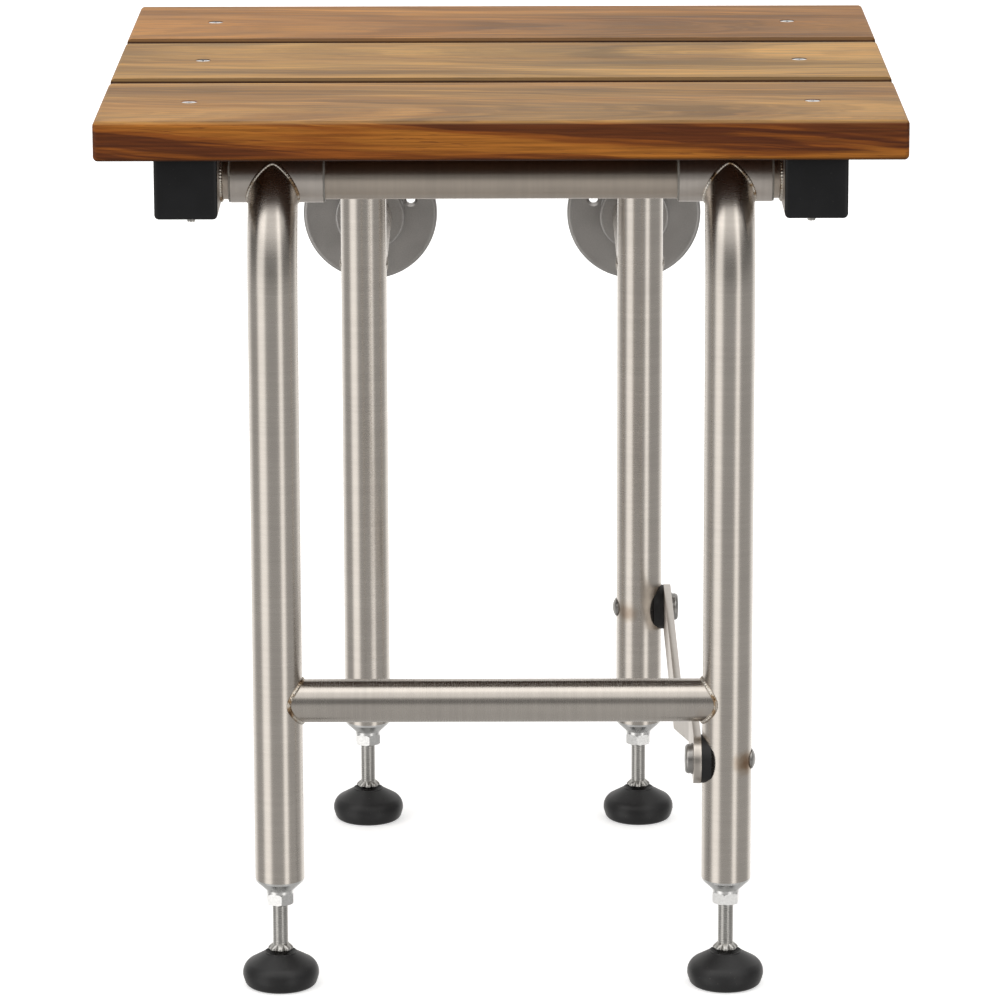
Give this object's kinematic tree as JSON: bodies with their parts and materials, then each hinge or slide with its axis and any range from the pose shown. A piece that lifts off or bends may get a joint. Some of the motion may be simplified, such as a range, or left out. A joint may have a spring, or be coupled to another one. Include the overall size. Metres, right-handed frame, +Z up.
{
  "type": "wall-fixed folding shower stool",
  "caption": "Slatted teak shower seat on folding steel tube legs, held to the wall by flanged arms, with swivel levelling feet.",
  "frame": {"origin": "on the floor, midway across the seat and midway between the seat's front edge and the wall face of the flanges", "axes": "+X across the seat to a sitter-facing viewer's right, +Y from the seat's front edge back to the wall, +Z up"},
  "size_m": [0.4064, 0.47, 0.4572],
  "materials": {
    "teak": "oiled, fine grained",
    "stainless": "satin, brushed along the tube",
    "flange_steel": "matte, turned",
    "fastener_steel": "satin",
    "bright_insert": "bright zinc",
    "stud_steel": "satin, rolled",
    "black_cap": "satin",
    "black_spacer": "matte",
    "foot_black": "satin",
    "liner_nylon": "matte"
  },
  "bodies": {
    "wall_frame": {"rear_sleeve_left": "stainless", "rear_sleeve_right": "stainless", "rear_leg_left": "stainless", "rear_leg_right": "stainless", "wall_arm_left": "stainless", "wall_arm_right": "stainless", "wall_flange_left": "flange_steel", "wall_flange_right": "flange_steel", "rear_liners": "liner_nylon", "insert_rear_left": "bright_insert", "insert_rear_right": "bright_insert", "rear_jam_nuts": "bright_insert", "rear_link_bolt": "fastener_steel", "rear_link_washer": "fastener_steel", "rear_link_spacer": "black_spacer", "rear_link_nut": "fastener_steel"},
    "seat": {"slat_front": "teak", "slat_middle": "teak", "slat_rear": "teak", "slat_screws": "fastener_steel", "slat_washers": "fastener_steel", "slat_nuts": "fastener_steel", "rail_left": "stainless", "rail_right": "stainless", "cap_front_left": "black_cap", "cap_front_right": "black_cap", "cap_rear_left": "black_cap", "cap_rear_right": "black_cap", "front_cross_tube": "stainless", "rear_cross_tube": "stainless", "sleeve_collars": "stainless"},
    "front_legs": {"front_sleeve_left": "stainless", "front_sleeve_right": "stainless", "front_leg_left": "stainless", "front_leg_right": "stainless", "front_crossbar": "stainless", "front_liners": "liner_nylon", "insert_front_left": "bright_insert", "insert_front_right": "bright_insert", "front_jam_nuts": "bright_insert", "front_link_bolt": "fastener_steel", "front_link_washer": "fastener_steel", "front_link_spacer": "black_spacer", "front_link_nut": "fastener_steel"},
    "link": {"link_bar": "stainless"},
    "stud_front_left": {"stud_front_left": "stud_steel"},
    "foot_front_left": {"foot_base_front_left": "foot_black"},
    "stud_front_right": {"stud_front_right": "stud_steel"},
    "foot_front_right": {"foot_base_front_right": "foot_black"},
    "stud_rear_left": {"stud_rear_left": "stud_steel"},
    "foot_rear_left": {"foot_base_rear_left": "foot_black"},
    "stud_rear_right": {"stud_rear_right": "stud_steel"},
    "foot_rear_right": {"foot_base_rear_right": "foot_black"}
  },
  "joints": [
    {"name": "seat_fold", "type": "hinge", "parent": "wall_frame", "child": "seat", "pos_m": [0, 0.106, 0.4233], "axis": [-1, 0, 0], "range_deg": [0, 90]},
    {"name": "front_leg_fold", "type": "hinge", "parent": "seat", "child": "front_legs", "pos_m": [0, -0.188, 0.4205], "axis": [-1, 0, 0], "range_deg": [-90, 0]},
    {"name": "link_fold", "type": "hinge", "parent": "wall_frame", "child": "link", "pos_m": [0.0929, 0.079, 0.1243], "axis": [-1, 0, 0], "range_deg": [0, 90]},
    {"name": "level_front_left", "type": "slide", "parent": "front_legs", "child": "stud_front_left", "axis": [0, 0, 1], "range_m": [-0.012, 0.01]},
    {"name": "swivel_front_left", "type": "hinge", "parent": "stud_front_left", "child": "foot_front_left", "pos_m": [-0.1153, -0.215, 0.0122], "axis": [1, 0, 0], "range_deg": [-8, 8]},
    {"name": "level_front_right", "type": "slide", "parent": "front_legs", "child": "stud_front_right", "axis": [0, 0, 1], "range_m": [-0.012, 0.01]},
    {"name": "swivel_front_right", "type": "hinge", "parent": "stud_front_right", "child": "foot_front_right", "pos_m": [0.1153, -0.215, 0.0122], "axis": [1, 0, 0], "range_deg": [-8, 8]},
    {"name": "level_rear_left", "type": "slide", "parent": "wall_frame", "child": "stud_rear_left", "axis": [0, 0, 1], "range_m": [-0.012, 0.01]},
    {"name": "swivel_rear_left", "type": "hinge", "parent": "stud_rear_left", "child": "foot_rear_left", "pos_m": [-0.077, 0.079, 0.0122], "axis": [1, 0, 0], "range_deg": [-8, 8]},
    {"name": "level_rear_right", "type": "slide", "parent": "wall_frame", "child": "stud_rear_right", "axis": [0, 0, 1], "range_m": [-0.012, 0.01]},
    {"name": "swivel_rear_right", "type": "hinge", "parent": "stud_rear_right", "child": "foot_rear_right", "pos_m": [0.077, 0.079, 0.0122], "axis": [1, 0, 0], "range_deg": [-8, 8]}
  ],
  "couplings": [
    {"joint": "front_leg_fold", "follows": "seat_fold", "ratio": -1},
    {"joint": "link_fold", "follows": "seat_fold", "ratio": 1}
  ]
}
